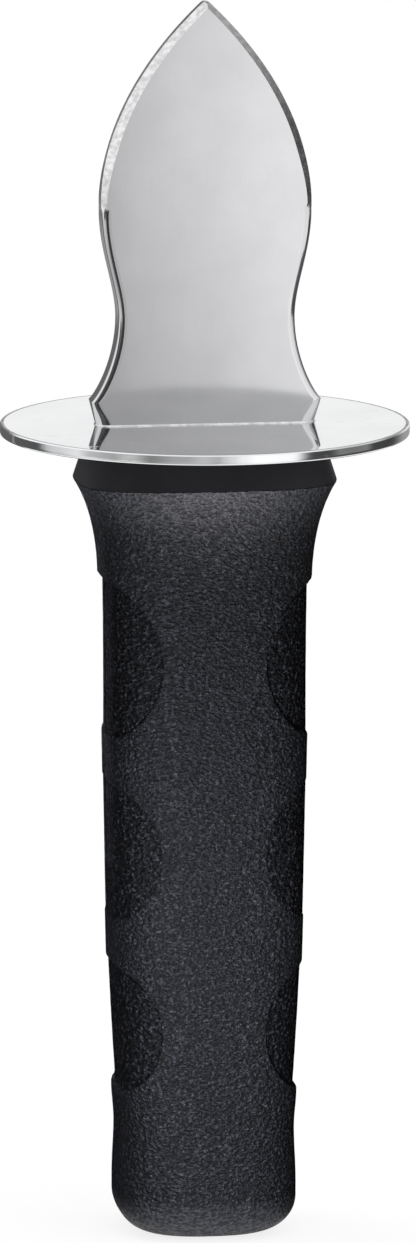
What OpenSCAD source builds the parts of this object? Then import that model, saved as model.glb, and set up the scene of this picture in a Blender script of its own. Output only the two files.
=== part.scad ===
// Oyster knife: ground blade with a hidden tang, round hand guard, hard core and grained grip.
// The knife stands on its butt. Z runs from the butt to the tip, X across the blade and
// Y through its thickness, with the origin at the centre of the flat butt face.
// All sizes are in millimetres.

/* [Blade] */
// Length of the blade above the guard
blade_len = 59.5; // [50:0.5:80]
// Thickness of the blade
blade_t = 4.6; // [3.6:0.1:5.6]
// Width of the leaf at its widest
leaf_w = 29.6; // [26:0.1:36]
// Height of the widest place above the guard
leaf_h = 30.2; // [27:0.1:34]
// Width of the waist between leaf and shoulders
waist_w = 24.9; // [18:0.1:25.5]
// Height of the waist above the guard
waist_h = 15; // [11:0.1:18]
// Width across the shoulders
shoulder_w = 32.4; // [30:0.1:36]
// Height of the shoulders above the guard
shoulder_h = 3.4; // [2.4:0.1:5]
// Width of the foot where it stands on the guard
foot_w = 30.9; // [27:0.1:34]
// Radius of the tip
tip_r = 1.4; // [0.8:0.1:2.5]
// Angle between the knife's axis and each edge at the tip
tip_angle = 46.7; // [42:0.1:52]
// Share of each leaf edge over which it runs nearly straight from the tip
leaf_straight = 0.66; // [0.5:0.01:0.75]
// Height over which each leaf edge leaves its widest place
leaf_turn = 0.6; // [0.2:0.1:2]
// Width of each bevel at the tip, across the blade
bevel_w = 2; // [1.2:0.1:3]
// Width of each bevel at its lower end
bevel_foot_w = 0.8; // [0.5:0.1:1.1]
// Angle between each bevel and the face beside it
bevel_angle = 54; // [46:1:60]
// Thickness left at the edge where the bevels are deepest
edge_t = 0.9; // [0.3:0.1:1.6]
// Radius of the rounded edges below the bevels
edge_r = 0.8; // [0.3:0.1:1.2]
// Radius of the foot's corners at the guard
foot_r = 2.1; // [1.2:0.1:2.3]

/* [Tang] */
// Width of the tang
tang_w = 13; // [9:0.5:14]
// Depth ground off each face of the tang, below the faces of the blade
tang_step = 0.2; // [0.1:0.05:0.5]
// Length of the tang below the guard
tang_len = 76; // [50:1:90]
// Diameter of the holes that lock the core to the tang
key_hole_d = 5.5; // [3:0.5:6]
// Number of those holes
key_holes = 3; // [1:1:4]
// Distance from the guard to the first of those holes
key_start = 18; // [12:1:20]
// Distance from the last of those holes to the end of the tang
key_end = 14; // [8:1:16]

/* [Guard] */
// Diameter of the guard
guard_d = 57.4; // [46:0.1:70]
// Thickness of the guard
guard_t = 1.5; // [1:0.1:2.5]
// Radius of the guard's rounded rim
guard_rim_r = 0.3; // [0.1:0.05:0.45]
// Gap between the tang and the slot in the guard, all round
slot_gap = 0.15; // [0.05:0.05:0.4]

/* [Collar] */
// Height of the smooth collar under the guard
collar_h = 6.4; // [4:0.1:9]
// Width of the collar at the guard
collar_top_w = 32.6; // [28:0.1:34]
// Depth of the collar at the guard, front to back
collar_top_d = 21.4; // [18:0.1:23]
// Width of the crest, where the collar meets the grip
crest_w = 36.7; // [34:0.1:42]
// Depth of the crest, front to back
crest_d = 24.4; // [23.5:0.1:29]

/* [Grip] */
// Height of the flare below the crest
flare_h = 13.7; // [10:0.1:20]
// Length of the flare's curved pull below the crest
flare_pull = 6.6; // [3:0.1:8]
// Angle between the knife's axis and the flare at the crest
flare_angle = 33.4; // [24:0.1:42]
// Width of the grip at the top of its flanks
flank_top_w = 29.7; // [28:0.1:33]
// Width that the upper part of the flanks is drawn towards
flank_upper_w = 27.8; // [26:0.1:31]
// Width that the lower part of the flanks is drawn towards
flank_lower_w = 28.3; // [26:0.1:31]
// Width of the grip at the foot of its flanks
flank_foot_w = 25.6; // [24.5:0.1:31]
// Depth of the grip at the top of its flanks, front to back
flank_top_d = 23; // [21:0.1:25]
// Depth of the grip at the foot of its flanks, front to back
flank_foot_d = 22.8; // [21:0.1:25]
// Squareness of the grip's section: 2 is an ellipse, and larger is squarer
squareness = 3.1; // [2.4:0.1:4]

/* [Scallops] */
// Length of the upper scallop
scallop_a_len = 22.3; // [14:0.1:26]
// Length of the middle scallop
scallop_b_len = 19.7; // [14:0.1:26]
// Length of the lower scallop
scallop_c_len = 18.3; // [14:0.1:26]
// Length of the land below the upper scallop
land_a_len = 6.3; // [3:0.1:10]
// Length of the land below the middle scallop
land_b_len = 6.4; // [3:0.1:10]
// Distance from the knife's axis to the inner edge of each scallop
scallop_reach = 7.4; // [5:0.1:10]
// Depth of the upper scallop at its top
scallop_a_top = 0.7; // [0.2:0.05:1]
// Depth of the upper scallop at its foot
scallop_a_foot = 0.25; // [0.15:0.05:0.8]
// Depth of the middle scallop
scallop_b_depth = 0.12; // [0.1:0.01:0.6]
// Depth of the lower scallop at its top
scallop_c_top = 0.3; // [0.15:0.05:0.8]
// Depth of the lower scallop at its foot
scallop_c_foot = 0.6; // [0.2:0.05:1]
// Width of the mould line along each side
mould_line_w = 0.3; // [0.2:0.05:0.6]
// Height of the mould line above the surface
mould_line_h = 0.1; // [0.05:0.05:0.3]

/* [Butt] */
// Length of the butt below the lower scallop
butt_len = 20.4; // [16:0.1:30]
// Height of the butt's narrowest place
butt_waist_h = 14.9; // [12:0.1:15.5]
// Width of the butt at its narrowest place
butt_waist_w = 24.9; // [24:0.1:30]
// Height of the butt's widest place
butt_bulge_h = 7.2; // [6.8:0.1:9]
// Width of the butt at its widest place
butt_bulge_w = 25.4; // [24:0.1:32]
// Depth of the butt at its widest place, front to back
butt_bulge_d = 23.8; // [21:0.1:28]
// Radius of the butt's rounded lower edge
butt_r = 5.3; // [3:0.1:6.5]
// Squareness of the flat under the butt, on the same scale as the grip's section
butt_squareness = 2.5; // [2:0.1:3.5]

/* [Core] */
// Width of the core inside the grip
core_w = 20.4; // [18:0.1:21]
// Depth of the core inside the grip, front to back
core_d = 15.6; // [12:0.1:17]
// Thickness of the grip below the core
grip_floor = 9; // [7:0.5:12]
// Number of grooves round the core that lock the grip to it
lock_grooves = 4; // [1:1:5]
// Width of each of those grooves along the core
groove_w = 4; // [2:0.5:6]
// Depth of each of those grooves
groove_depth = 1; // [0.5:0.1:1.5]

/* [Hidden] */

steel = [0.78, 0.78, 0.79];
polished_steel = [0.86, 0.87, 0.88];
collar_black = [0.07, 0.07, 0.08];
grip_black = [0.12, 0.12, 0.135];

// Points round one section of the grip, and round each corner of the blade
section_points = 60;
corner_points = 6;
core_points = 48;
// Levels in one stretch of a curve
fine = 14;
few = 7;
// Overlap that joins solids and lets cuts run clear
lap = 1;

// Half-width of the ridge between the bevels at the tip
ridge = 0.06;
tang_t = blade_t - 2 * tang_step;

// Heights from the butt upwards: each is the sum of the lengths below it
flank_foot = butt_len;
scallop_c_end = flank_foot + scallop_c_len;
scallop_b_start = scallop_c_end + land_b_len;
scallop_b_end = scallop_b_start + scallop_b_len;
scallop_a_start = scallop_b_end + land_a_len;
flank_top = scallop_a_start + scallop_a_len;
crest = flank_top + flare_h;
guard_bottom = crest + collar_h;
guard_top = guard_bottom + guard_t;

// Each scallop: its lower end, its upper end, and its depth at each end
scallops = [
    [flank_foot, scallop_c_end, scallop_c_foot, scallop_c_top],
    [scallop_b_start, scallop_b_end, scallop_b_depth, scallop_b_depth],
    [scallop_a_start, flank_top, scallop_a_foot, scallop_a_top],
];

// Going down from the guard, the holes through the tang are evenly spaced
key_pitch = (tang_len - key_start - key_end) / max(1, key_holes - 1);
key_levels = [for (i = [0:key_holes - 1]) guard_bottom - key_start - i * key_pitch];

function mix(a, b, t) = a + (b - a) * t;
function ease(t) = (1 - cos(180 * max(0, min(1, t)))) / 2;
function steps(n) = [for (i = [0:n]) i / n];
function cubic(p, t) =
    pow(1 - t, 3) * p[0] + 3 * pow(1 - t, 2) * t * p[1] + 3 * (1 - t) * t * t * p[2] + pow(t, 3) * p[3];
function signed_power(v, p) = sign(v) * pow(abs(v), p);

// One closed section, half as wide as a and half as deep as b, at height z
function oval(a, b, z, n = section_points, power = squareness) =
    [for (i = [0:n - 1])
        let (t = 360 * i / n)
        [a * signed_power(cos(t), 2 / power), b * signed_power(sin(t), 2 / power), z]];

// Skin through a stack of sections with equal counts, closed by a fan of triangles at each end
module skin(sections) {
    n = len(sections[0]);
    m = len(sections);
    middles = [[0, 0, sections[0][0][2]], [0, 0, sections[m - 1][0][2]]];
    sides = [for (k = [0:m - 2], i = [0:n - 1])
        each let (j = (i + 1) % n)
        [[k * n + i, (k + 1) * n + i, (k + 1) * n + j],
         [k * n + i, (k + 1) * n + j, k * n + j]]];
    foot_cap = [for (i = [0:n - 1]) [m * n, i, (i + 1) % n]];
    top_cap = [for (i = [0:n - 1]) [m * n + 1, (m - 1) * n + (i + 1) % n, (m - 1) * n + i]];
    polyhedron(
        points = concat([for (s = sections) each s], middles),
        faces = concat(sides, foot_cap, top_cap));
}

// Blade

// Half-widths and heights above the guard along each stretch of the blade's outline
tip_centre = blade_len - tip_r;
tip_start = [tip_r * cos(tip_angle), tip_centre + tip_r * sin(tip_angle)];
leaf_pull = leaf_straight * norm([leaf_w / 2, tip_start[1] - leaf_h]) * [-sin(tip_angle), cos(tip_angle)];
leaf_curve = [
    [leaf_w / 2, leaf_h],
    [leaf_w / 2, leaf_h + leaf_turn],
    tip_start - leaf_pull,
    tip_start,
];
neck_curve = [
    [waist_w / 2, waist_h],
    [waist_w / 2, mix(waist_h, leaf_h, 0.3)],
    [leaf_w / 2, mix(waist_h, leaf_h, 0.6)],
    [leaf_w / 2, leaf_h],
];
flare_curve = [
    [shoulder_w / 2, shoulder_h],
    [mix(shoulder_w, waist_w, 0.28) / 2, mix(shoulder_h, waist_h, 0.08)],
    [waist_w / 2, mix(shoulder_h, waist_h, 0.5)],
    [waist_w / 2, waist_h],
];
outline = concat(
    [[foot_w / 2, 0], [mix(foot_w, shoulder_w, 0.5) / 2, shoulder_h / 2]],
    [for (t = steps(few)) cubic(flare_curve, t)],
    [for (t = steps(fine)) if (t > 0) cubic(neck_curve, t)],
    [for (t = steps(2 * fine)) if (t > 0) cubic(leaf_curve, t)],
    [for (t = steps(few)) if (t > 0)
        let (turn = mix(tip_angle, 84, t))
        [tip_r * cos(turn), tip_centre + tip_r * sin(turn)]]
);

// How far the rounded edge has given way to the bevel, and how far the foot has rounded off
bevel_fade = 2.4;
function bevel_share(z) = ease((z - leaf_h + bevel_fade / 4) / bevel_fade);
function foot_share(z) = 1 - ease(z / shoulder_h);
foot_corner = min(foot_r, 0.48 * blade_t);

// Width and depth of each bevel at height z
function bevel_width(z) = mix(bevel_foot_w, bevel_w, pow(max(0, (z - leaf_h) / (blade_len - leaf_h)), 1.5));
function bevel_depth(z) = min(bevel_width(z) * tan(bevel_angle), (blade_t - edge_t) / 2);

// Corner of the section at height z: its width, its depth and how round it is
function corner(z) =
    let (bevel = bevel_share(z), round_r = mix(edge_r, foot_corner, foot_share(z)))
    [mix(round_r, bevel_width(z), bevel), mix(round_r, bevel_depth(z), bevel), 1 - bevel];

// Quarter of the section from the face to the edge
function quarter(w, z) =
    let (c = corner(z), reach = min(1, (w - ridge) / c[0]), cx = c[0] * reach, cy = c[1] * reach,
        half_t = blade_t / 2 - c[1] * (1 - reach))
    [for (u = steps(corner_points - 1))
        [w - cx + cx * mix(u, sin(90 * u), c[2]), half_t - cy + cy * mix(1 - u, cos(90 * u), c[2])]];

function blade_section(w, z) =
    let (q = quarter(w, z), back = [for (i = [len(q) - 1:-1:0]) q[i]], h = guard_top + z)
    concat(
        [for (v = back) [v[0], v[1], h]],
        [for (v = q) [-v[0], v[1], h]],
        [for (v = back) [-v[0], -v[1], h]],
        [for (v = q) [v[0], -v[1], h]]);

module tang() {
    difference() {
        translate([-tang_w / 2, -tang_t / 2, guard_bottom - tang_len])
            cube([tang_w, tang_t, tang_len + guard_t + lap]);
        for (z = key_levels)
            translate([0, 0, z])
                rotate([90, 0, 0])
                    cylinder(d = key_hole_d, h = tang_t + 2 * lap, center = true, $fn = 48);
    }
}

module blade() {
    color(steel) {
        skin([for (p = outline) blade_section(p[0], p[1])]);
        tang();
    }
}

// Guard

module guard_plate() {
    color(polished_steel)
        translate([0, 0, guard_bottom])
            difference() {
                rotate_extrude($fn = 180) {
                    square([guard_d / 2 - guard_rim_r, guard_t]);
                    translate([0, guard_rim_r])
                        square([guard_d / 2, guard_t - 2 * guard_rim_r]);
                    for (y = [guard_rim_r, guard_t - guard_rim_r])
                        translate([guard_d / 2 - guard_rim_r, y])
                            circle(r = guard_rim_r, $fn = 32);
                }
                translate([-tang_w / 2 - slot_gap, -tang_t / 2 - slot_gap, -lap])
                    cube([tang_w + 2 * slot_gap, tang_t + 2 * slot_gap, guard_t + 2 * lap]);
            }
}

// Handle core

core_foot = grip_floor;
groove_pitch = (crest - core_foot) / (lock_grooves + 1);

module core_bar(width, depth, low, high) {
    translate([0, 0, low])
        linear_extrude(height = high - low)
            polygon([for (p = oval(width / 2, depth / 2, 0, core_points)) [p[0], p[1]]]);
}

// The part of the core that the grip is moulded round
module core_stem(top) {
    groove_ends = concat(
        [core_foot],
        [for (i = [1:lock_grooves]) each
            let (z = core_foot + i * groove_pitch) [z - groove_w / 2, z + groove_w / 2]],
        [top]);
    for (i = [0:2:len(groove_ends) - 2])
        core_bar(core_w, core_d, groove_ends[i], groove_ends[i + 1]);
    core_bar(core_w - 2 * groove_depth, core_d - 2 * groove_depth, core_foot, top);
}

module collar() {
    skin([
        oval(crest_w / 2, crest_d / 2, crest),
        oval(collar_top_w / 2, collar_top_d / 2, guard_bottom),
    ]);
}

module handle_core() {
    color(collar_black)
        difference() {
            union() {
                core_stem(crest + lap);
                collar();
            }
            tang();
        }
}

// Grip

// Half-width and half-depth of the grip's plain body at points down its height
flare_width = [
    [crest_w / 2, crest],
    [crest_w / 2 - flare_pull * sin(flare_angle), crest - flare_pull * cos(flare_angle)],
    [flank_top_w / 2, flank_top],
    [flank_top_w / 2, flank_top],
];
flank_width = [flank_foot_w / 2, flank_lower_w / 2, flank_upper_w / 2, flank_top_w / 2];

function flare_depth(t) = mix(crest_d, flank_top_d, 1 - pow(1 - t, 3)) / 2;
function flank_share(z) = (z - flank_foot) / (flank_top - flank_foot);
function flank_half_width(z) = cubic(flank_width, flank_share(z));
function flank_half_depth(z) = mix(flank_foot_d, flank_top_d, flank_share(z)) / 2;
function butt_half_width(z) =
    z > butt_waist_h
        ? mix(butt_waist_w, flank_foot_w, ease((z - butt_waist_h) / (flank_foot - butt_waist_h))) / 2
        : mix(butt_bulge_w, butt_waist_w, ease((z - butt_bulge_h) / (butt_waist_h - butt_bulge_h))) / 2;
function butt_half_depth(z) =
    mix(butt_bulge_d, flank_foot_d, ease((z - butt_bulge_h) / (flank_foot - butt_bulge_h))) / 2;

// Section of the butt's rounded lower edge at one turn of its quarter circle
function edge_section(turn) =
    let (inward = butt_r * (1 - sin(turn)), power = mix(butt_squareness, squareness, ease(turn / 90)))
    oval(butt_bulge_w / 2 - inward, butt_bulge_d / 2 - inward, butt_r * (1 - cos(turn)), power = power);

// Half-width, half-depth and height of the plain body above the rounded edge
body_levels = concat(
    [for (t = steps(few)) if (t > 0)
        let (z = mix(butt_r, butt_waist_h, t)) [butt_half_width(z), butt_half_depth(z), z]],
    [for (t = steps(few)) if (t > 0)
        let (z = mix(butt_waist_h, flank_foot, t)) [butt_half_width(z), butt_half_depth(z), z]],
    [for (t = steps(fine)) if (t > 0)
        let (z = mix(flank_foot, flank_top, t)) [flank_half_width(z), flank_half_depth(z), z]],
    [for (i = [fine - 1:-1:0])
        let (t = i / fine, p = cubic(flare_width, t)) [p[0], flare_depth(t), p[1]]]
);

module grip_body() {
    skin(concat(
        [for (t = steps(few)) edge_section(90 * t)],
        [for (v = body_levels) oval(v[0], v[1], v[2])]));
}

// Depth of the scallop floor below the plain body, on a line through the ends of all three
depth_table = [for (s = scallops) each [[s[0], s[2]], [s[1], s[3]]]];
function floor_depth(z) = lookup(z, depth_table);

// Body whose surface is the floor of the scallops
module scallop_floor() {
    low = flank_foot - lap;
    high = flank_top + lap;
    skin([for (t = steps(2 * fine))
        let (z = mix(low, high, t), inside = floor_depth(z))
        oval(flank_half_width(z) - inside, flank_half_depth(z) - inside, z)]);
}

// Each scallop is bounded by an arc through its ends on the flank and its reach on the front
module scallop_cut(s) {
    middle = (s[0] + s[1]) / 2;
    half_len = (s[1] - s[0]) / 2;
    bow = flank_half_width(middle) - scallop_reach;
    radius = (half_len * half_len + bow * bow) / (2 * bow);
    for (side = [-1, 1])
        translate([side * (scallop_reach + radius), 0, middle])
            rotate([90, 0, 0])
                cylinder(r = radius, h = 2 * crest_d, center = true, $fn = 96);
}

// Thin rib down both sides, proud of the lands and of the scallop floors
module mould_line() {
    right = [for (s = scallops) each [
        [flank_half_width(s[0]) + mould_line_h / 2, s[0]],
        [flank_half_width(s[0]) - s[2] + mould_line_h, s[0]],
        for (t = [0.25, 0.5, 0.75])
            let (z = mix(s[0], s[1], t)) [flank_half_width(z) - mix(s[2], s[3], t) + mould_line_h, z],
        [flank_half_width(s[1]) - s[3] + mould_line_h, s[1]],
        [flank_half_width(s[1]) + mould_line_h / 2, s[1]]]];
    left = [for (i = [len(right) - 1:-1:0]) [-right[i][0], right[i][1]]];
    translate([0, mould_line_w / 2, 0])
        rotate([90, 0, 0])
            linear_extrude(height = mould_line_w)
                polygon(concat(right, left));
}

module grip_sleeve() {
    color(grip_black)
        difference() {
            union() {
                difference() {
                    grip_body();
                    difference() {
                        for (s = scallops)
                            scallop_cut(s);
                        scallop_floor();
                    }
                }
                mould_line();
            }
            core_stem(crest + lap);
        }
}

blade();
guard_plate();
handle_core();
grip_sleeve();
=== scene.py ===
"""Looks of the oyster knife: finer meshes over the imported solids, materials and a plain studio."""
import math

import bmesh
import bpy
import numpy as np
from mathutils import Matrix, Vector, noise


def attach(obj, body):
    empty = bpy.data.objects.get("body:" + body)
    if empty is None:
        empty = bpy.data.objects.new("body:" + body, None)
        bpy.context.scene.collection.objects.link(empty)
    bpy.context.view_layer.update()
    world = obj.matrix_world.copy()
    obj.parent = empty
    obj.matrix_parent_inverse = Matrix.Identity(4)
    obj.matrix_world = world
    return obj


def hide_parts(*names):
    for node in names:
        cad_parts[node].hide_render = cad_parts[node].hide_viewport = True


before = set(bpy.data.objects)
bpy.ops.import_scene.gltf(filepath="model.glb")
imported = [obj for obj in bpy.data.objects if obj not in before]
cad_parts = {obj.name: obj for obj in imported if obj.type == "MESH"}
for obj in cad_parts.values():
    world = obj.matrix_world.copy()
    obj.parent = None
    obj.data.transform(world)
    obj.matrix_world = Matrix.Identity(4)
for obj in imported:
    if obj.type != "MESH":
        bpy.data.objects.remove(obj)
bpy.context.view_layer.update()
scene = bpy.context.scene

# Sizes in millimetres. The blade's heights are above the guard and the others above the butt. They are the
# sizes of the part's source, but the tip, the bevel and the guard's rim are measured more closely here.
BLADE_LEN, BLADE_T = 59.5, 4.6
LEAF_W, LEAF_H, WAIST_W, WAIST_H = 29.6, 30.2, 24.9, 15.0
SHOULDER_W, SHOULDER_H, FOOT_W = 32.4, 3.4, 30.9
TIP_R, TIP_ANGLE, LEAF_STRAIGHT = 0.8, math.radians(46.7), 0.66
LEAF_TURN, BEVEL_W, BEVEL_ANGLE = 0.6, 1.12, math.radians(54)
EDGE_T, EDGE_R, FOOT_R, RIDGE = 0.9, 0.8, 2.1, 0.06
TANG_W, TANG_T, TANG_LEN = 13.0, 4.2, 76.0
GUARD_D, GUARD_T, RIM_R, RIM_BREAK, SLOT_GAP = 57.4, 1.5, 0.3, 0.17, 0.15
COLLAR_TOP, CREST_SIZE = (32.6, 21.4), (36.7, 24.4)
FLARE_PULL, FLARE_ANGLE = 6.6, math.radians(33.4)
FLANK_W = (25.6, 28.3, 27.8, 29.7)
FLANK_FOOT_D, FLANK_TOP_D = 22.8, 23.0
SQUARE, BUTT_SQUARE = 3.1, 2.5
SCALLOPS = ((20.4, 38.7, 0.6, 0.3), (45.1, 64.8, 0.12, 0.12), (71.1, 93.4, 0.25, 0.7))
REACH = 7.4
LINE_W, LINE_H = 0.3, 0.1
BUTT_WAIST = (14.9, 24.9)
BULGE_H, BULGE_W, BULGE_D, BUTT_R = 7.2, 25.4, 23.8, 5.3
CORE_W, CORE_D, CORE_FOOT = 20.4, 15.6, 9.0
FLANK_FOOT, FLANK_TOP, CREST, GUARD_LOW, GUARD_TOP = 20.4, 93.4, 107.1, 113.5, 115.0
MM = 0.001
TINY, SMALL = 1e-9, 1e-6


def mix(a, b, t):
    return a + (b - a) * t


def ease(t):
    return (1 - np.cos(np.pi * np.clip(t, 0, 1))) / 2


def smooth(t):
    t = np.clip(t, 0, 1)
    return t * t * (3 - 2 * t)


def cubic(p, t):
    return (1 - t) ** 3 * p[0] + 3 * (1 - t) ** 2 * t * p[1] + 3 * (1 - t) * t * t * p[2] + t**3 * p[3]


def curve(points, ts):
    p = np.array(points, float)
    return np.array([cubic(p, t) for t in ts])


def power_cos(t, p):
    return np.sign(np.cos(t)) * np.abs(np.cos(t)) ** (2 / p)


def power_sin(t, p):
    return np.sign(np.sin(t)) * np.abs(np.sin(t)) ** (2 / p)


def loop_faces(rows, cols, start=0, closed=True):
    """Quads of a grid of rows by cols, whose columns close into a ring unless closed is false."""
    wide = cols if closed else cols - 1
    return [
        (start + k * cols + i, start + k * cols + (i + 1) % cols,
         start + (k + 1) * cols + (i + 1) % cols, start + (k + 1) * cols + i)
        for k in range(rows - 1) for i in range(wide)
    ]


def on_rectangle(points, half_x, half_y):
    """Each point moved along its line from the middle onto a rectangle."""
    moved = []
    for x, y in points:
        scale = min(half_x / max(abs(x), TINY), half_y / max(abs(y), TINY))
        moved.append((x * scale, y * scale))
    return moved


# Angles in degrees above which an edge of each piece is shaded sharp
BLADE_SHARP, GUARD_SHARP, CORE_SHARP, GRIP_SHARP = 24, 40, 50, 60


def make_piece(name, verts, faces, node, materials, sharp, face_slots=None):
    """Mesh from points in millimetres, riding on the one body and standing for a node."""
    mesh = bpy.data.meshes.new(name)
    mesh.from_pydata([tuple(float(c) * MM for c in v) for v in verts], [], faces)
    piece = bpy.data.objects.new(name, mesh)
    scene.collection.objects.link(piece)
    for m in materials:
        mesh.materials.append(m)
    if face_slots is not None:
        mesh.polygons.foreach_set("material_index", np.asarray(face_slots, np.int32))
    bm = bmesh.new()
    bm.from_mesh(mesh)
    bmesh.ops.recalc_face_normals(bm, faces=bm.faces)
    bm.to_mesh(mesh)
    bm.free()
    mesh.shade_smooth()
    mesh.set_sharp_from_angle(angle=math.radians(sharp))
    mesh.update()
    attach(piece, "root")
    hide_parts(node)
    return piece


class Nodes:
    """Shorthand for a material's node tree."""

    def __init__(self, name):
        self.material = bpy.data.materials.new(name)
        self.material.use_nodes = True
        self.tree = self.material.node_tree
        self.shader = self.tree.nodes["Principled BSDF"]
        self.place = self.tree.nodes.new("ShaderNodeTexCoord").outputs["Object"]

    def add(self, kind, **values):
        node = self.tree.nodes.new(kind)
        for key, value in values.items():
            setattr(node, key, value)
        return node

    def link(self, source, target):
        self.tree.links.new(source, target)

    def scaled(self, scale):
        node = self.add("ShaderNodeMapping")
        node.inputs["Scale"].default_value = scale
        self.link(self.place, node.inputs["Vector"])
        return node.outputs["Vector"]

    def noise(self, scale, detail=3.0, rough=0.5, stretch=None):
        node = self.add("ShaderNodeTexNoise")
        node.inputs["Scale"].default_value = scale
        node.inputs["Detail"].default_value = detail
        node.inputs["Roughness"].default_value = rough
        where = self.scaled(stretch) if stretch else self.place
        self.link(where, node.inputs["Vector"])
        return node.outputs["Fac"]

    def math(self, operation, a, b):
        node = self.add("ShaderNodeMath", operation=operation)
        for socket, value in zip(node.inputs, (a, b)):
            if isinstance(value, (int, float)):
                socket.default_value = value
            else:
                self.link(value, socket)
        return node.outputs[0]

    def span(self, value, low, high, to_low, to_high):
        node = self.add("ShaderNodeMapRange")
        self.link(value, node.inputs["Value"])
        for key, v in (("From Min", low), ("From Max", high), ("To Min", to_low), ("To Max", to_high)):
            node.inputs[key].default_value = v
        return node.outputs["Result"]

    def blend(self, fac, low, high):
        node = self.add("ShaderNodeMix", data_type="RGBA")
        self.link(fac, node.inputs["Factor"])
        for socket, value in ((node.inputs[6], low), (node.inputs[7], high)):
            if isinstance(value, tuple):
                socket.default_value = (*value, 1)
            else:
                self.link(value, socket)
        return node.outputs[2]

    def bump(self, height, distance, normal=None):
        node = self.add("ShaderNodeBump")
        node.inputs["Strength"].default_value = 1.0
        node.inputs["Distance"].default_value = distance
        self.link(height, node.inputs["Height"])
        if normal is not None:
            self.link(normal, node.inputs["Normal"])
        return node.outputs["Normal"]

    def finish(self, colour, roughness, normal, **values):
        self.link(colour, self.shader.inputs["Base Color"])
        self.link(roughness, self.shader.inputs["Roughness"])
        self.link(normal, self.shader.inputs["Normal"])
        for key, value in values.items():
            self.shader.inputs[key.replace("_", " ")].default_value = value
        return self.material


# In the materials, noise scales are per metre, and bump depths and places are in metres
CROWN_HEIGHT = 0.14
# Painted light on the grip: heights of a paler band under the collar and at the butt's lower edge, and the
# paler colour
LIP_LIGHT_FROM, LIP_LIGHT_TO = 0.1, 0.107
BASE_LIGHT_FROM, BASE_LIGHT_TO = 0.006, 0.0015
END_LIGHT_COLOUR = (0.072, 0.073, 0.08)


def ground_steel(name, tone, rough, line_depth, mottle, crown=None, facets=0.0):
    """Ground steel: fine lines along the blade, a faint crown from the wheel and strokes of the stone."""
    n = Nodes(name)
    lines = n.noise(1.0, 4.0, 0.6, stretch=(5200, 5200, 150))
    broad = n.noise(140, 3.0)
    patch = n.noise(900, 2.0, 0.6)
    dark = tuple(c * 0.93 for c in tone)
    colour = n.blend(n.span(broad, 0.3, 0.7, 0, 1), dark, tone)
    if facets:
        strokes = n.noise(1.0, 2.0, 0.55, stretch=(900, 900, 1700))
        dull = tuple(c * (1 - facets) for c in tone)
        colour = n.blend(n.span(strokes, 0.36, 0.64, 0, 1), dull, colour)
    streaks = n.span(lines, 0.3, 0.7, rough * 0.85, rough * 1.2)
    roughness = n.math("ADD", streaks, n.span(patch, 0.4, 0.75, 0, mottle))
    normal = n.bump(lines, line_depth)
    normal = n.bump(broad, 0.000003, normal=normal)
    if crown:
        split = n.add("ShaderNodeSeparateXYZ")
        n.link(n.place, split.inputs[0])
        across = n.math("MULTIPLY", n.math("MULTIPLY", split.outputs[0], split.outputs[0]), -crown[0])
        rise = n.math("SUBTRACT", split.outputs[2], CROWN_HEIGHT)
        along = n.math("MULTIPLY", n.math("MULTIPLY", rise, rise), -crown[1])
        normal = n.bump(n.math("ADD", across, along), 1.0, normal=normal)
    return n.finish(colour, roughness, normal, Metallic=1.0)


def mirror_steel(name):
    """Bright polished sheet with faint wiping marks and fine scratches."""
    n = Nodes(name)
    wipes = n.noise(1.0, 4.0, 0.65, stretch=(230, 600, 900))
    scratches = n.noise(1.0, 2.0, 0.5, stretch=(420, 9000, 9000))
    broad = n.noise(90, 2.0)
    colour = n.blend(n.span(broad, 0.35, 0.65, 0, 1), (0.80, 0.81, 0.82), (0.86, 0.865, 0.875))
    scored = n.span(scratches, 0.62, 0.8, 0.0, 0.06)
    roughness = n.math("ADD", n.span(wipes, 0.56, 0.74, 0.035, 0.24), scored)
    normal = n.bump(n.noise(520, 2.0), 0.0000035)
    return n.finish(colour, roughness, normal, Metallic=1.0)


def collar_plastic(name):
    """Smooth hard plastic, a little satin."""
    n = Nodes(name)
    fine = n.noise(2600, 4.0, 0.6)
    broad = n.noise(160, 3.0)
    colour = n.blend(n.span(broad, 0.3, 0.7, 0, 1), (0.032, 0.032, 0.037), (0.044, 0.044, 0.05))
    roughness = n.span(broad, 0.3, 0.7, 0.5, 0.6)
    normal = n.bump(fine, 0.000012)
    return n.finish(colour, roughness, normal, Specular_IOR_Level=0.2)


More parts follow.
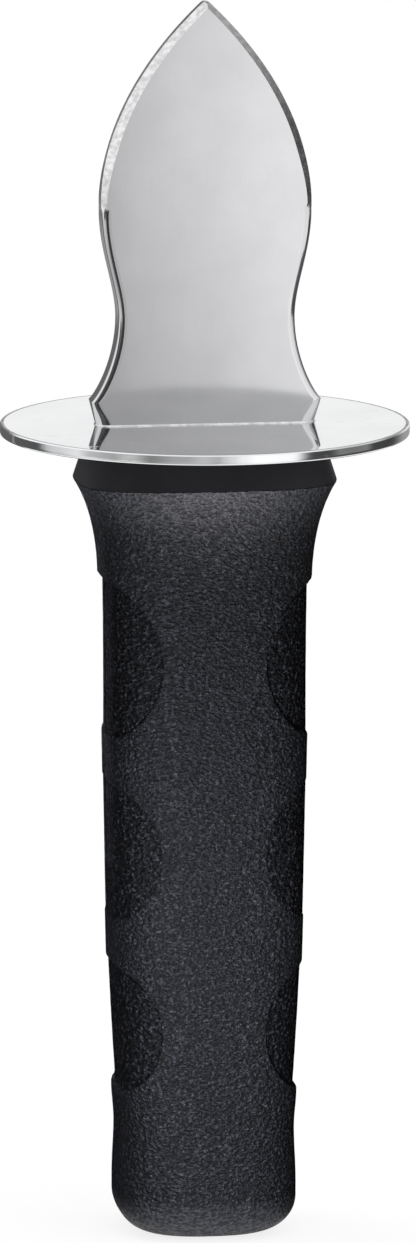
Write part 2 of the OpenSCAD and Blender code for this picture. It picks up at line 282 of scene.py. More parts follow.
def grained_rubber(name, cell, depth, dark, light, painted_speck_highlight, gloss):
    """Pebble grain: pale rounded tops and dark creases, whose darkness is painted shade. A few tops are
    smoother from wear and paler with a painted highlight, and both ends are paler with painted light.
    """
    n = Nodes(name)
    grain = n.noise(cell, 1.6, 0.55, stretch=(0.92, 0.92, 1.3))
    tops = n.span(grain, 0.44, 0.6, 0, 1)
    broad = n.noise(150, 3.0)
    # A few tops smoother from wear, and paler: a painted highlight
    wear_and_painted_speck = n.span(n.noise(cell * 1.3, 1.0, stretch=(0.9, 0.9, 1.2)), 0.56, 0.68, 0, 1)
    # Tops take the light colour and creases the dark one, which is painted shade
    tone = n.math("MULTIPLY", tops, n.span(broad, 0.3, 0.7, 0.82, 1.0))
    split = n.add("ShaderNodeSeparateXYZ")
    n.link(n.place, split.inputs[0])
    # Painted light: paler towards the collar and towards the butt's lower edge
    lip = n.span(split.outputs[2], LIP_LIGHT_FROM, LIP_LIGHT_TO, 0, 0.5)
    base = n.span(split.outputs[2], BASE_LIGHT_FROM, BASE_LIGHT_TO, 0, 1)
    painted_end_light = n.math("MULTIPLY", n.math("MAXIMUM", lip, base), n.span(grain, 0.35, 0.6, 0.2, 1))
    colour = n.blend(wear_and_painted_speck, n.blend(painted_end_light, n.blend(tone, dark, light), END_LIGHT_COLOUR), painted_speck_highlight)
    roughness = n.math("SUBTRACT", n.span(tops, 0, 1, 0.72, 0.54), n.math("MULTIPLY", wear_and_painted_speck, 0.14))
    normal = n.bump(n.noise(cell * 3.0, 2.0, 0.6), depth * 0.15)
    normal = n.bump(grain, depth, normal=normal)
    return n.finish(colour, roughness, normal, Specular_IOR_Level=gloss)


BLADE_FACE = ground_steel("blade_satin", (0.73, 0.73, 0.745), 0.1, 0.0000012, 0.02, (2.1, 0.5))
BLADE_BEVEL = ground_steel("blade_bevel_grind", (0.85, 0.85, 0.86), 0.2, 0.000004, 0.12, facets=0.3)
GUARD_STEEL = mirror_steel("guard_mirror")
GUARD_BORDER = ground_steel("guard_border_grind", (0.34, 0.34, 0.35), 0.26, 0.000003, 0.12, facets=0.12)
COLLAR = collar_plastic("collar_satin")
GRIP_FINE = grained_rubber("grip_grain_fine", 1800, 0.0007, dark=(0.0, 0.0, 0.0002),
                           light=(0.007, 0.0074, 0.0095), painted_speck_highlight=(0.03, 0.031, 0.037), gloss=0.46)
# In the scallops the grain is coarser and the colour darker: the darker colour is painted shade in the
# recesses
GRIP_COARSE_SHADED = grained_rubber("grip_grain_coarse_shaded", 1500, 0.0008, dark=(0.0, 0.0, 0.0002),
                             light=(0.002, 0.0021, 0.0028), painted_speck_highlight=(0.026, 0.027, 0.032), gloss=0.3)

# Blade: the ground leaf, the rounded neck and foot, and the hidden tang. Its edge has rows at FOOT_STEPS of
# the way up the foot, and then as many as given here along the shoulder, the neck, the leaf and the tip.
FOOT_STEPS = (0.06, 0.15, 0.3, 0.5, 0.7, 0.88)
SHOULDER_ROWS, NECK_ROWS, LEAF_ROWS, TIP_ROWS = 17, 29, 71, 9
SHOULDER_PULL, WAIST_PULL, NECK_PULL = (0.28, 0.08), 0.5, (0.3, 0.6)
TIP_END = math.radians(84)
FACE_STEPS = (0, 0.35, 0.7, 0.9, 0.98)
CORNER, CORNER_W, FOOT_R_MOST = 13, 1.05, 0.48 * BLADE_T
BEVEL_FADE = 1.4
BEVEL_START = LEAF_H - BEVEL_FADE / 4
BEVEL_LOW_W, BEVEL_TAPER = 0.7, 9.0
BEVEL_MARGIN = 0.01
FILLET = 0.2
TANG_BREAK, TANG_BREAK_H = 0.8, 1.2


def blade_outline():
    """Half-width and height above the guard along the blade's edge, from foot to tip."""
    tip_centre = BLADE_LEN - TIP_R
    start = np.array([TIP_R * math.cos(TIP_ANGLE), tip_centre + TIP_R * math.sin(TIP_ANGLE)])
    pull = LEAF_STRAIGHT * math.hypot(LEAF_W / 2, start[1] - LEAF_H)
    heading = np.array([-math.sin(TIP_ANGLE), math.cos(TIP_ANGLE)])
    leaf = [(LEAF_W / 2, LEAF_H), (LEAF_W / 2, LEAF_H + LEAF_TURN), start - pull * heading, start]
    neck = [(WAIST_W / 2, WAIST_H), (WAIST_W / 2, mix(WAIST_H, LEAF_H, NECK_PULL[0])),
            (LEAF_W / 2, mix(WAIST_H, LEAF_H, NECK_PULL[1])), (LEAF_W / 2, LEAF_H)]
    shoulder = [(SHOULDER_W / 2, SHOULDER_H),
                (mix(SHOULDER_W, WAIST_W, SHOULDER_PULL[0]) / 2,
                 mix(SHOULDER_H, WAIST_H, SHOULDER_PULL[1])),
                (WAIST_W / 2, mix(SHOULDER_H, WAIST_H, WAIST_PULL)), (WAIST_W / 2, WAIST_H)]
    foot = [(mix(FOOT_W, SHOULDER_W, t) / 2, SHOULDER_H * t) for t in FOOT_STEPS]
    turns = np.linspace(TIP_ANGLE, TIP_END, TIP_ROWS)[1:]
    tip = [(TIP_R * math.cos(a), tip_centre + TIP_R * math.sin(a)) for a in turns]
    return np.vstack([foot, curve(shoulder, np.linspace(0, 1, SHOULDER_ROWS)),
                      curve(neck, np.linspace(0, 1, NECK_ROWS)[1:]),
                      curve(leaf, np.linspace(0, 1, LEAF_ROWS)[1:]), tip])


def bevel_width(z):
    """Width of the bevel across the blade, less towards its lower end."""
    return mix(BEVEL_LOW_W, BEVEL_W, float(smooth((z - LEAF_H) / BEVEL_TAPER)))


def blade_quarter(w, z):
    """Points from the middle of the face over the rounded corner or the bevel to the edge."""
    bevel = float(ease((z - BEVEL_START) / BEVEL_FADE))
    foot = 1 - float(ease(z / SHOULDER_H))
    depth = min(bevel_width(z) * math.tan(BEVEL_ANGLE), (BLADE_T - EDGE_T) / 2)
    cx = mix(mix(CORNER_W, FOOT_R, foot), bevel_width(z), bevel)
    cy = mix(mix(EDGE_R, min(FOOT_R, FOOT_R_MOST), foot), depth, bevel)
    reach = min(1, (w - RIDGE) / cx)
    cx, cy, half_t = cx * reach, cy * reach, BLADE_T / 2 - cy * (1 - reach)
    inner = w - cx
    points = [(inner * f, half_t) for f in FACE_STEPS]
    for k in range(CORNER):
        u = k / (CORNER - 1)
        x = cx * mix(u, math.sin(u * math.pi / 2), 1 - bevel)
        y = cy * mix(1 - u, math.cos(u * math.pi / 2), 1 - bevel)
        points.append((inner + x, half_t - cy + y))
    return points


def blade_section(w, z, grow=0.0):
    """Ring of the blade's section at height z above the guard, made larger by grow on every side."""
    q = [(x * (1 + grow / w), y * (1 + 2 * grow / BLADE_T)) for x, y in blade_quarter(w, z)]
    h = GUARD_TOP + z
    ring = [(x, y, h) for x, y in q[::-1]]
    ring += [(-x, y, h) for x, y in q[1:]]
    ring += [(-x, -y, h) for x, y in q[::-1]]
    ring += [(x, -y, h) for x, y in q[1:]]
    return ring


def build_blade():
    outline = blade_outline()
    rings = [blade_section(w, z) for w, z in outline]
    rings.insert(0, blade_section(FOOT_W / 2, 0, FILLET))
    outline = np.vstack([[FOOT_W / 2, 0], outline])
    count = len(rings[0])
    verts = [p for ring in rings for p in ring]
    faces = loop_faces(len(rings), count)
    # The fillet at the foot and the bevels carry the ground finish
    bevel_slots = []
    for k in range(len(rings) - 1):
        half, z = outline[k]
        limit = half - min(bevel_width(z), half - RIDGE) - BEVEL_MARGIN
        for i in range(count):
            nearest = min(abs(rings[k][i][0]), abs(rings[k][(i + 1) % count][0]))
            bevel_slots.append(1 if k == 0 or z >= BEVEL_START and nearest >= limit else 0)
    last = len(rings) - 1
    top = len(verts)
    verts.append((0, 0, GUARD_TOP + BLADE_LEN))
    for i in range(count):
        faces.append((last * count + i, last * count + (i + 1) % count, top))
        bevel_slots.append(1)
    # The tang goes down from the middle of the foot's flat underside and narrows at its end
    low = len(verts)
    inner = on_rectangle([(x, y) for x, y, _ in rings[0]], TANG_W / 2, TANG_T / 2)
    tang_end = GUARD_LOW - TANG_LEN
    for level, pinch in ((GUARD_TOP, 0), (GUARD_LOW, 0), (tang_end + TANG_BREAK_H, 0),
                         (tang_end, TANG_BREAK / (TANG_W / 2))):
        verts.extend((x * (1 - pinch), y * (1 - pinch), level) for x, y in inner)
    for i in range(count):
        j = (i + 1) % count
        faces.append((i, j, low + j, low + i))
    faces += loop_faces(4, count, low)
    faces.append(tuple(low + 3 * count + i for i in range(count)))
    bevel_slots += [0] * (len(faces) - len(bevel_slots))
    return make_piece("blade_ground", verts, faces, "blade",
                      [BLADE_FACE, BLADE_BEVEL], BLADE_SHARP, bevel_slots)


# Guard: a polished disc with a slot for the tang. Its upper edge is chamfered, with a narrow ground border
# inside it, and its lower edge is rounded.
GUARD_COLUMNS = 384
GUARD_RINGS = (9, 13, 17.5, 22, 26)
RIM_RINGS = (0.25, 0.02)
RIM_STEPS = (0.35, 0.5, 0.65)
RIM_TURNS = 8


def build_guard():
    count = GUARD_COLUMNS
    angles = [2 * math.pi * i / count for i in range(count)]
    slot = on_rectangle([(math.cos(a), math.sin(a)) for a in angles],
                        TANG_W / 2 + SLOT_GAP, TANG_T / 2 + SLOT_GAP)
    r = GUARD_D / 2
    rim = [r - RIM_R - inward for inward in RIM_RINGS]
    profile = [(radius, GUARD_TOP) for radius in (*GUARD_RINGS, *rim)]
    profile += [(r - RIM_BREAK, GUARD_TOP), (r, GUARD_TOP - RIM_BREAK)]
    profile += [(r, GUARD_TOP - GUARD_T * f) for f in RIM_STEPS]
    for k in range(RIM_TURNS + 1):
        a = math.pi / 2 * k / RIM_TURNS
        profile.append((r - RIM_R + RIM_R * math.cos(a), GUARD_LOW + RIM_R - RIM_R * math.sin(a)))
    profile += [(radius, GUARD_LOW) for radius in (*rim[::-1], *GUARD_RINGS[-2::-1])]
    verts = [(x, y, GUARD_TOP) for x, y in slot]
    for radius, z in profile:
        verts.extend((radius * math.cos(a), radius * math.sin(a), z) for a in angles)
    verts.extend((x, y, GUARD_LOW) for x, y in slot)
    rows = len(profile) + 2
    faces = loop_faces(rows, count)
    last = (rows - 1) * count
    faces += [(last + i, last + (i + 1) % count, (i + 1) % count, i) for i in range(count)]
    # The border is the two rows of faces just inside the chamfer
    first = len(GUARD_RINGS) + 1
    border = [1 if k // count in (first, first + 1) else 0 for k in range(len(faces))]
    return make_piece("guard_disc", verts, faces, "guard_plate",
                      [GUARD_STEEL, GUARD_BORDER], GUARD_SHARP, border)


# Core: the smooth collar under the guard and the stem inside the grip
CORE_COLUMNS = 256
COLLAR_LEDGE = 2.0
COLLAR_EDGE = ((0.3, 0.0), (0.12, 0.0), (0.045, 0.03), (0.01, 0.085), (0.0, 0.16))
COLLAR_STEPS = (0.1, 0.3, 0.5, 0.7, 0.9, 1.0)


def build_core():
    ts = np.linspace(0, 2 * np.pi, CORE_COLUMNS, endpoint=False)
    cx, cy = power_cos(ts, SQUARE), power_sin(ts, SQUARE)
    half_w, half_d = CREST_SIZE[0] / 2, CREST_SIZE[1] / 2
    slope = ((CREST_SIZE[0] - COLLAR_TOP[0]) / 2, (CREST_SIZE[1] - COLLAR_TOP[1]) / 2)
    height = GUARD_LOW - CREST
    levels = [(CORE_W / 2, CORE_D / 2, CORE_FOOT), (CORE_W / 2, CORE_D / 2, CREST),
              (half_w - COLLAR_LEDGE, half_d - COLLAR_LEDGE, CREST)]
    # The rounded lower edge of the collar, then its sloping side
    for inward, rise in COLLAR_EDGE:
        share = rise / height
        levels.append((half_w - slope[0] * share - inward, half_d - slope[1] * share - inward,
                       CREST + rise))
    for share in COLLAR_STEPS:
        levels.append((half_w - slope[0] * share, half_d - slope[1] * share, CREST + height * share))
    verts = [(a * x, b * y, z) for a, b, z in levels for x, y in zip(cx, cy)]
    base = len(verts)
    slot = on_rectangle(zip(cx * COLLAR_TOP[0], cy * COLLAR_TOP[1]), TANG_W / 2, TANG_T / 2)
    for z in (GUARD_LOW, GUARD_LOW - TANG_LEN):
        verts.extend((x, y, z) for x, y in slot)
    faces = loop_faces(len(levels) + 2, CORE_COLUMNS)
    faces.append(tuple(range(CORE_COLUMNS)))
    faces.append(tuple(base + CORE_COLUMNS + i for i in range(CORE_COLUMNS)))
    return make_piece("collar_core", verts, faces, "handle_core", [COLLAR], CORE_SHARP)


# Grip: grained skin with scallops, lands and the mould line. The path up its side has these points on the
# butt, from there to the flank, on the flank and on the flare.
BUTT_POINTS, WAIST_POINTS, FLANK_POINTS, FLARE_POINTS = 40, 120, 300, 121
COLUMNS, ROW_STEP = 244, 0.36
NOMINAL_W, NOMINAL_D = 14, 11.5
# Half-width of the strip along the mould line that has columns of its own, and where these lie
LINE_ZONE = 0.42
LINE_COLUMNS = (0.0, 0.08, 0.15, 0.22, 0.36)
LINE_FADE, LINE_FROM, LINE_ON_LAND = 0.3, 8, 0.5
# Half-width of a scallop's step, and the reach, power and rounds of the pull that draws points to it
STEP_HALF = 0.12
PULL_REACH, PULL_POWER, PULL_ROUNDS = 1.5, 2.1, 6
PULL_NEAREST, PULL_SIDE = 0.45, 0.5
SLOPE_LEAST, TURN_MOST, SLIDE_MOST = 0.05, 0.2, 0.8
# Height and inset of the lip under the collar, and the shares of its height that have a row
LIP_H, LIP_INSET = 0.2, 0.16
LIP_ROWS = (0.7, 0.45, 0.25, 0.1, 0.0)
GRAIN_HEIGHT, FINE_GRAIN, COARSE_GRAIN, COARSE_GAIN = 0.012, 1.05, 0.75, 1.5
COARSE_SHIFT = Vector((31, 7, 5))
GRAIN_FADE_BUTT, GRAIN_FADE_LIP = 3.0, 1.0
BUTT_RINGS = (0.92, 0.6, 0.25)


def profile_table():
    """Dense path up the side of the grip: path length, half-width, half-depth, height and squareness."""
    path = []
    for turn in np.linspace(0, np.pi / 2, BUTT_POINTS):
        inward = BUTT_R * (1 - math.sin(turn))
        path.append((BULGE_W / 2 - inward, BULGE_D / 2 - inward, BUTT_R * (1 - math.cos(turn)),
                     mix(BUTT_SQUARE, SQUARE, float(ease(turn / (np.pi / 2))))))
    waist_h, waist_w = BUTT_WAIST
    for z in np.linspace(BUTT_R, FLANK_FOOT, WAIST_POINTS)[1:]:
        if z > waist_h:
            a = mix(waist_w, FLANK_W[0], ease((z - waist_h) / (FLANK_FOOT - waist_h))) / 2
        else:
            a = mix(BULGE_W, waist_w, ease((z - BULGE_H) / (waist_h - BULGE_H))) / 2
        b = mix(BULGE_D, FLANK_FOOT_D, ease((z - BULGE_H) / (FLANK_FOOT - BULGE_H))) / 2
        path.append((float(a), float(b), z, SQUARE))
    for z in np.linspace(FLANK_FOOT, FLANK_TOP, FLANK_POINTS)[1:]:
        share = (z - FLANK_FOOT) / (FLANK_TOP - FLANK_FOOT)
        path.append((cubic(FLANK_W, share) / 2, mix(FLANK_FOOT_D, FLANK_TOP_D, share) / 2, z, SQUARE))
    flare = [(CREST_SIZE[0] / 2, CREST),
             (CREST_SIZE[0] / 2 - FLARE_PULL * math.sin(FLARE_ANGLE),
              CREST - FLARE_PULL * math.cos(FLARE_ANGLE)),
             (FLANK_W[3] / 2, FLANK_TOP), (FLANK_W[3] / 2, FLANK_TOP)]
    for t in np.linspace(1, 0, FLARE_POINTS)[1:]:
        x, z = cubic(np.array(flare), t)
        path.append((x, mix(CREST_SIZE[1], FLANK_TOP_D, 1 - (1 - t) ** 3) / 2, z, SQUARE))
    path = np.array(path)
    length = np.concatenate([[0], np.cumsum(np.hypot(np.diff(path[:, 0]), np.diff(path[:, 2])))])
    return np.column_stack([length, path])


def column_turns():
    """Turns round the section, evenly spaced by length, with close ones along the mould line."""
    dense = np.linspace(0, 2 * np.pi, 14401)
    x, y = NOMINAL_W * power_cos(dense, SQUARE), NOMINAL_D * power_sin(dense, SQUARE)
    length = np.concatenate([[0], np.cumsum(np.hypot(np.diff(x), np.diff(y)))])
    turns = list(np.interp(np.linspace(0, length[-1], COLUMNS + 1)[:-1], length, dense))
    turns = [t for t in turns if abs(NOMINAL_D * power_sin(np.array([t]), SQUARE)[0]) > LINE_ZONE]
    for offset in LINE_COLUMNS:
        t = math.asin((offset / NOMINAL_D) ** (SQUARE / 2))
        turns += [t, math.pi - t] + ([math.pi + t, 2 * math.pi - t] if offset else [])
    return np.array(sorted(turns))


def scallop_distance(x, z):
    """How far points lie inside the nearest scallop's arc, its slope in x and z, and the depth there."""
    best = np.full(x.shape, -1e9)
    gx, gz, depth = np.zeros(x.shape), np.zeros(x.shape), np.zeros(x.shape)
    for low, high, foot, top in SCALLOPS:
        middle, half = (low + high) / 2, (high - low) / 2
        share = (middle - FLANK_FOOT) / (FLANK_TOP - FLANK_FOOT)
        bow = cubic(FLANK_W, share) / 2 - REACH
        radius = (half * half + bow * bow) / (2 * bow)
        dx, dz = np.abs(x) - REACH - radius, z - middle
        dist = np.hypot(dx, dz)
        inside = radius - dist
        near = inside > best
        best = np.where(near, inside, best)
        gx = np.where(near, -np.sign(x) * dx / dist, gx)
        gz = np.where(near, -dz / dist, gz)
        depth = np.where(near, mix(foot, top, np.clip((z - low) / (high - low), 0, 1)), depth)
    return best, gx, gz, depth


def build_grip():
    table = profile_table()
    turns = column_turns()
    total = table[-1, 0]
    rows = int((total - LIP_H) / ROW_STEP)
    lengths = np.concatenate([np.linspace(0, total - LIP_H, rows), total - LIP_H * np.array(LIP_ROWS)])
    s = np.repeat(lengths[:, None], len(turns), axis=1)
    t = np.repeat(turns[None, :], len(lengths), axis=0)

    def surface(s, t, inset=0.0):
        a, b, z, p = (np.interp(s, table[:, 0], table[:, k]) for k in (1, 2, 3, 4))
        return np.stack([(a - inset) * power_cos(t, p), (b - inset) * power_sin(t, p), z], axis=-1)

    def tangents(s, t):
        h = 1e-4
        across = (surface(s, t + h) - surface(s, t - h)) / (2 * h)
        along = (surface(s + h, t) - surface(s - h, t)) / (2 * h)
        return across, along

    # Points near a scallop's arc are drawn to it, so that its step runs along the mesh
    start, _, _, _ = scallop_distance(*[surface(s, t)[..., k] for k in (0, 2)])
    near = np.abs(start) < PULL_REACH
    pulled = PULL_REACH * (np.abs(start) / PULL_REACH) ** PULL_POWER
    goal = np.sign(start) * np.maximum(pulled, STEP_HALF * PULL_NEAREST)
    side = np.abs(surface(s, t)[..., 1]) < PULL_SIDE
    for _ in range(PULL_ROUNDS):
        p = surface(s, t)
        now, gx, gz, _ = scallop_distance(p[..., 0], p[..., 2])
        across, along = tangents(s, t)
        size = np.maximum(np.linalg.norm(across, axis=-1), SMALL)
        slope_t = np.where(side, 0, gx * across[..., 0] / size)
        slope_s = gx * along[..., 0] + gz * along[..., 2]
        norm2 = np.maximum(slope_t**2 + slope_s**2, SLOPE_LEAST)
        move = np.where(near, goal - now, 0)
        t = t + np.clip(move * slope_t / norm2 / size, -TURN_MOST, TURN_MOST)
        s = s + np.clip(move * slope_s / norm2, -SLIDE_MOST, SLIDE_MOST)
    p = surface(s, t)
    now, _, _, depth = scallop_distance(p[..., 0], p[..., 2])
    share = smooth((now / STEP_HALF + 1) / 2)
    verts = surface(s, t, depth * share)
    # The mould line stands proud down both sides, higher in the scallops than on the lands
    height = verts[..., 2]
    zone = (smooth((height - FLANK_FOOT + LINE_FADE) / LINE_FADE)
            * smooth((FLANK_TOP + LINE_FADE - height) / LINE_FADE))
    bead = np.clip(1 - (np.abs(verts[..., 1]) / (LINE_W / 2)) ** 2, 0, 1)
    bead = bead * (np.abs(verts[..., 0]) > LINE_FROM)
    verts[..., 0] += np.sign(verts[..., 0]) * bead * zone * LINE_H * mix(LINE_ON_LAND, 1.0, share)
    # Rounded lip where the skin meets the collar
    lip = np.clip((s - (total - LIP_H)) / LIP_H, 0, 1)
    shrink = (LIP_INSET * lip**3)[..., None]
    normal_xy = verts[..., :2] / np.maximum(np.linalg.norm(verts[..., :2], axis=-1, keepdims=True), SMALL)
    verts[..., :2] -= normal_xy * shrink
    # Cast grain, coarser in the scallops, fading out at the flat under the butt
    across = np.roll(verts, -1, axis=1) - np.roll(verts, 1, axis=1)
    along = np.gradient(verts, axis=0)
    normal = np.cross(across, along)
    normal /= np.maximum(np.linalg.norm(normal, axis=-1, keepdims=True), TINY)
    fade = smooth(lengths / GRAIN_FADE_BUTT) * smooth((total - lengths) / GRAIN_FADE_LIP)
    grain = np.zeros(share.shape)
    for k in range(verts.shape[0]):
        for i in range(verts.shape[1]):
            point = Vector(verts[k, i])
            fine = noise.noise(point * FINE_GRAIN)
            coarse = noise.noise(point * COARSE_GRAIN + COARSE_SHIFT)
            grain[k, i] = fine * (1 - share[k, i]) + COARSE_GAIN * coarse * share[k, i]
    verts += normal * (GRAIN_HEIGHT * grain * fade[:, None])[..., None]
    verts[0, :, 2] = 0.0
    verts[-1, :, 2] = CREST

    count = len(turns)
    rows = len(lengths)
    points = [tuple(v) for v in verts.reshape(-1, 3)]
    faces = loop_faces(rows, count)
    inside = share > 0.5
    slots = []
    for k in range(rows - 1):
        for i in range(count):
            j = (i + 1) % count
            slots.append(int(inside[k, i] and inside[k, j] and inside[k + 1, i] and inside[k + 1, j]))
    # Flat underside in rings down to a middle point
    previous = 0
    ring = verts[0]
    for shrink in BUTT_RINGS:
        first = len(points)
        points += [(v[0] * shrink, v[1] * shrink, 0.0) for v in ring]
        for i in range(count):
            j = (i + 1) % count
            faces.append((previous + i, first + i, first + j, previous + j))
        previous = first
    middle = len(points)
    points.append((0, 0, 0))
    faces += [(previous + i, middle, previous + (i + 1) % count) for i in range(count)]
    # Top rim and the cavity that the core fills
    previous = (rows - 1) * count
    core_x, core_y = CORE_W / 2 * power_cos(turns, SQUARE), CORE_D / 2 * power_sin(turns, SQUARE)
    for z in (CREST, CORE_FOOT):
        first = len(points)
        points += [(x, y, z) for x, y in zip(core_x, core_y)]
        for i in range(count):
            j = (i + 1) % count
            faces.append((previous + i, previous + j, first + j, first + i))
        previous = first
    faces.append(tuple(previous + i for i in range(count)))
    slots += [0] * (len(faces) - len(slots))
    return make_piece("grip_skin_piece", points, faces, "grip_sleeve",
                      [GRIP_FINE, GRIP_COARSE_SHADED], GRIP_SHARP, slots)


build_blade()
build_guard()
build_core()
GRIP = build_grip()

# Camera, in metres: the photograph's angle, through a long lens, aimed beside and below the guard's middle
AZIMUTH, ELEVATION, ROLL = math.radians(-8), math.radians(10), math.radians(0.1)
DISTANCE, FRAME_HEIGHT, SENSOR = 2.2, 0.174, 36
AIM_RIGHT, AIM_DOWN = 0.000507, 0.0279
right = Vector((math.cos(AZIMUTH), math.sin(AZIMUTH), 0))
up = Vector((-math.sin(AZIMUTH) * math.sin(ELEVATION), math.cos(AZIMUTH) * math.sin(ELEVATION),
             math.cos(ELEVATION)))
back = right.cross(up)
target = Vector((0, 0, GUARD_TOP * MM)) + right * AIM_RIGHT - up * AIM_DOWN
camera = bpy.data.objects.new("camera", bpy.data.cameras.new("camera"))
scene.collection.objects.link(camera)
camera.data.sensor_width = SENSOR
camera.data.lens = SENSOR * DISTANCE / FRAME_HEIGHT
turn = Matrix((right, up, back)).transposed() @ Matrix.Rotation(ROLL, 3, "Z")
camera.matrix_world = Matrix.Translation(target + back * DISTANCE) @ turn.to_4x4()
scene.camera = camera


# Floor: its pale colour lights the knife. The camera and reflections see it white, with the knife's shadow.
FLOOR_RADIUS, FLOOR_SEGMENTS = 0.24, 128
FLOOR_PALE, FLOOR_FAINT, FLOOR_GLOW = 0.6, 0.3, 0.82


def build_floor():
    bm = bmesh.new()
    bmesh.ops.create_circle(bm, cap_ends=True, radius=FLOOR_RADIUS, segments=FLOOR_SEGMENTS)
    mesh = bpy.data.meshes.new("floor")
    bm.to_mesh(mesh)
    bm.free()
    floor = bpy.data.objects.new("floor", mesh)
    scene.collection.objects.link(floor)
    material = bpy.data.materials.new("floor_pale")
    material.use_nodes = True
    tree = material.node_tree
    tree.nodes.clear()
    out = tree.nodes.new("ShaderNodeOutputMaterial")
    choose = tree.nodes.new("ShaderNodeMixShader")
    path = tree.nodes.new("ShaderNodeLightPath")
    plain = tree.nodes.new("ShaderNodeBsdfDiffuse")
    plain.inputs["Color"].default_value = (FLOOR_PALE, FLOOR_PALE, FLOOR_PALE, 1)
    faint = tree.nodes.new("ShaderNodeBsdfDiffuse")
    faint.inputs["Color"].default_value = (FLOOR_FAINT, FLOOR_FAINT, FLOOR_FAINT, 1)
    glow = tree.nodes.new("ShaderNodeEmission")
    glow.inputs["Strength"].default_value = FLOOR_GLOW
    both = tree.nodes.new("ShaderNodeAddShader")
    tree.links.new(faint.outputs[0], both.inputs[0])
    tree.links.new(glow.outputs[0], both.inputs[1])
    seen = tree.nodes.new("ShaderNodeMath")
    seen.operation = "MAXIMUM"
    tree.links.new(path.outputs["Is Camera Ray"], seen.inputs[0])
    tree.links.new(path.outputs["Is Glossy Ray"], seen.inputs[1])
    tree.links.new(seen.outputs[0], choose.inputs[0])
    tree.links.new(plain.outputs[0], choose.inputs[1])
    tree.links.new(both.outputs[0], choose.inputs[2])
    tree.links.new(choose.outputs[0], out.inputs[0])
    material.cycles.emission_sampling = "NONE"
    mesh.materials.append(material)


build_floor()


# World: white to the camera. Light and reflections come from a studio of light and dark panels.
def ramp(tree, fac, stops):
    """Grey ramp through stops of place and value."""
    node = tree.nodes.new("ShaderNodeValToRGB")
    node.color_ramp.interpolation = "EASE"
    tree.links.new(fac, node.inputs[0])
    points = node.color_ramp.elements
    while len(points) < len(stops):
        points.new(0.5)
    for point, (where, value) in zip(points, stops):
        point.position = where
        point.color = (value, value, value, 1)
    return node.outputs[0]


# Brightness round the horizon at seven elevations. A stop is an angle in degrees from the front, towards
# the right, and a value.
SKY = (
    (-60, ((-180, 0.7), (180, 0.7))),
    (-24, ((-180, 0.4), (-145, 0.15), (-120, 0.12), (-108, 0.5), (-66, 0.6), (-54, 0.2), (-6, 0.3),
           (2, 0.75), (30, 0.9), (46, 0.7), (60, 0.12), (125, 0.12), (150, 0.35), (180, 0.4))),
    (-11, ((-180, 0.3), (-168, 0.3), (-158, 0.9), (-148, 0.5), (-142, 0.1), (-114, 0.1), (-102, 0.6),
           (-80, 0.9), (-62, 0.6), (-50, 0.75), (-38, 0.3), (-24, 0.5), (-8, 0.6), (0, 0.46), (3, 0.6),
           (8, 0.74), (14, 0.95), (22, 1.15), (42, 1.15), (54, 0.08), (120, 0.06), (145, 0.35),
           (180, 0.38))),
    (-7, ((-180, 0.15), (-118, 0.1), (-108, 1.0), (-86, 1.0), (-76, 0.12), (-38, 0.2), (-18, 0.3),
          (-8, 0.6), (0, 0.6), (3, 0.78), (8, 0.94), (14, 1.12), (22, 1.2), (44, 1.15), (57, 0.06),
          (66, 0.06), (76, 0.45), (94, 0.45), (104, 0.06), (125, 0.05), (145, 0.36), (180, 0.4))),
    (7, ((-180, 0.15), (-160, 0.15), (-150, 0.8), (-135, 0.5), (-112, 1.1), (-86, 1.1), (-76, 0.1),
         (-40, 0.1), (-14, 0.42), (0, 0.5), (14, 0.6), (44, 0.6), (58, 0.12), (66, 0.12), (76, 0.45),
         (94, 0.45), (104, 0.08), (128, 0.08), (150, 0.9), (177, 0.98), (180, 0.6))),
    (34, ((-180, 0.1), (-164, 0.1), (-152, 1.1), (-86, 1.1), (-76, 0.1), (-10, 0.2), (10, 0.6), (30, 1.1),
          (92, 1.0), (108, 0.66), (126, 0.66), (142, 0.1), (180, 0.1))),
    (80, ((-180, 1.0), (180, 1.0))),
)


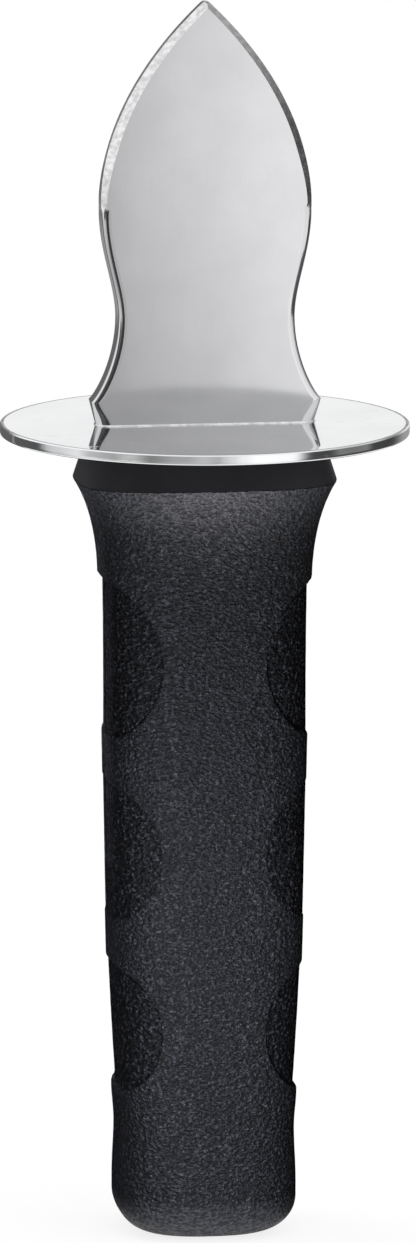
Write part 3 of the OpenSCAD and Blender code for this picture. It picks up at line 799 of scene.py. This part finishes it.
def build_world():
    world = bpy.data.worlds.new("studio")
    scene.world = world
    world.use_nodes = True
    world.cycles.sampling_method = "NONE"
    tree = world.node_tree
    tree.nodes.clear()

    def operate(operation, a, b=None):
        """Math node on values or links."""
        node = tree.nodes.new("ShaderNodeMath")
        node.operation = operation
        for socket, value in zip(node.inputs, (a, b)):
            if isinstance(value, (int, float)):
                socket.default_value = value
            elif value is not None:
                tree.links.new(value, socket)
        return node.outputs[0]

    where = tree.nodes.new("ShaderNodeTexCoord").outputs["Generated"]
    split = tree.nodes.new("ShaderNodeSeparateXYZ")
    tree.links.new(where, split.inputs[0])
    x, y, z = split.outputs
    azimuth = operate("ARCTAN2", x, operate("MULTIPLY", y, -1.0))
    around = operate("ADD", operate("DIVIDE", azimuth, 2 * math.pi), 0.5)
    rise = operate("MULTIPLY", operate("ARCSINE", z), 180 / math.pi)
    shade = None
    for k, (level, stops) in enumerate(SKY):
        row = ramp(tree, around, [(d / 360 + 0.5, v) for d, v in stops])
        if shade is None:
            shade = row
            continue
        span = tree.nodes.new("ShaderNodeMapRange")
        span.interpolation_type = "SMOOTHSTEP"
        tree.links.new(rise, span.inputs["Value"])
        span.inputs["From Min"].default_value = SKY[k - 1][0]
        span.inputs["From Max"].default_value = level
        pick = tree.nodes.new("ShaderNodeMix")
        pick.data_type = "RGBA"
        tree.links.new(span.outputs["Result"], pick.inputs["Factor"])
        tree.links.new(shade, pick.inputs[6])
        tree.links.new(row, pick.inputs[7])
        shade = pick.outputs[2]
    light = tree.nodes.new("ShaderNodeBackground")
    tree.links.new(shade, light.inputs["Color"])
    white = tree.nodes.new("ShaderNodeBackground")
    path = tree.nodes.new("ShaderNodeLightPath")
    choose = tree.nodes.new("ShaderNodeMixShader")
    out = tree.nodes.new("ShaderNodeOutputWorld")
    white.inputs["Color"].default_value = (1, 1, 1, 1)
    tree.links.new(path.outputs["Is Camera Ray"], choose.inputs[0])
    tree.links.new(light.outputs[0], choose.inputs[1])
    tree.links.new(white.outputs[0], choose.inputs[2])
    tree.links.new(choose.outputs[0], out.inputs[0])


# Cards that only reflections see, in metres. The first is a black tub round the grip. The others stand round
# the knife and make the lines along the blade's edges, its neck and the guard's rim.
CARD_R = 0.1
CARD_TONE = 0.004


def reflection_card(name, profile, turns, glow=0.0):
    """Curved card through (radius, height) rows at turns in degrees from the front, towards the right."""
    mesh = bpy.data.meshes.new(name)
    verts = [(r * math.sin(math.radians(d)), -r * math.cos(math.radians(d)), z)
             for r, z in profile for d in turns]
    mesh.from_pydata(verts, [], loop_faces(len(profile), len(turns), closed=False))
    card = bpy.data.objects.new(name, mesh)
    scene.collection.objects.link(card)
    material = bpy.data.materials.new(name)
    material.use_nodes = True
    shader = material.node_tree.nodes["Principled BSDF"]
    shader.inputs["Base Color"].default_value = (CARD_TONE, CARD_TONE, CARD_TONE, 1)
    shader.inputs["Roughness"].default_value = 1.0
    shader.inputs["Specular IOR Level"].default_value = 0.0
    shader.inputs["Emission Color"].default_value = (1, 1, 1, 1)
    shader.inputs["Emission Strength"].default_value = glow
    material.cycles.emission_sampling = "NONE"
    mesh.materials.append(material)
    card.visible_camera = False
    card.visible_diffuse = False
    card.visible_shadow = False


reflection_card("grip_card", ((0.0145, 0.0004), (0.0284, 0.0004), (0.0284, 0.106)), range(-180, 181, 10))
reflection_card("blade_card", ((CARD_R, 0.1036), (CARD_R, 0.165)), range(-50, -19, 3), 0.05)
reflection_card("neck_card", ((CARD_R, 0.114), (CARD_R, 0.16)), range(26, 76, 4), 1.0)
reflection_card("rim_card", ((CARD_R, 0.06), (CARD_R, 0.102)), range(-173, -130, 3), 0.12)
reflection_card("contour_card", ((CARD_R, 0.145), (CARD_R, 0.19)), range(-168, -151, 4), 0.2)

# Lamps that light only the grip, so that its grain and borders show
LAMP_COLOUR, CREST_COLOUR = (0.97, 1.0, 1.13), (1.02, 1.0, 1.0)
BACK_LAMPS = (("key_back_left", (-0.1, 0.173, 0.06), 0.3), ("key_back_right", (0.05, 0.194, 0.06), 0.5),
              ("key_rim", (-0.03, 0.198, 0.06), 0.02))
grip_only = bpy.data.collections.new("grip_only")
grip_only.objects.link(GRIP)


def grip_lamp(name, kind, place, aim, power, **values):
    """Soft lamp that only the grip receives."""
    data = bpy.data.lights.new(name, kind)
    data.energy = power
    data.color = LAMP_COLOUR
    for key, value in values.items():
        setattr(data, key, value)
    data.cycles.use_multiple_importance_sampling = False
    lamp = bpy.data.objects.new(name, data)
    scene.collection.objects.link(lamp)
    lamp.location = place
    lamp.rotation_euler = (Vector(aim) - Vector(place)).to_track_quat("-Z", "Y").to_euler()
    lamp.visible_camera = False
    lamp.light_linking.receiver_collection = grip_only
    return lamp


grip_lamp("key_front", "AREA", (-0.02, -0.095, 0.036), (0, 0, 0.036), 0.124, shape="RECTANGLE",
          size=0.03, size_y=0.024)
for name, place, power in BACK_LAMPS:
    lamp = grip_lamp(name, "AREA", place, (0, 0, 0.055), power, shape="RECTANGLE", size=0.08, size_y=0.1)
    lamp.visible_glossy = name == "key_rim"
crest = grip_lamp("crest_glow", "SPOT", (-0.02, -0.25, 0.012), (0, -0.011, 0.112), 6.4,
                  spot_size=math.radians(6.4), spot_blend=1.0, shadow_soft_size=0.008)
crest.data.color = CREST_COLOUR

build_world()
scene.view_settings.view_transform = "Standard"
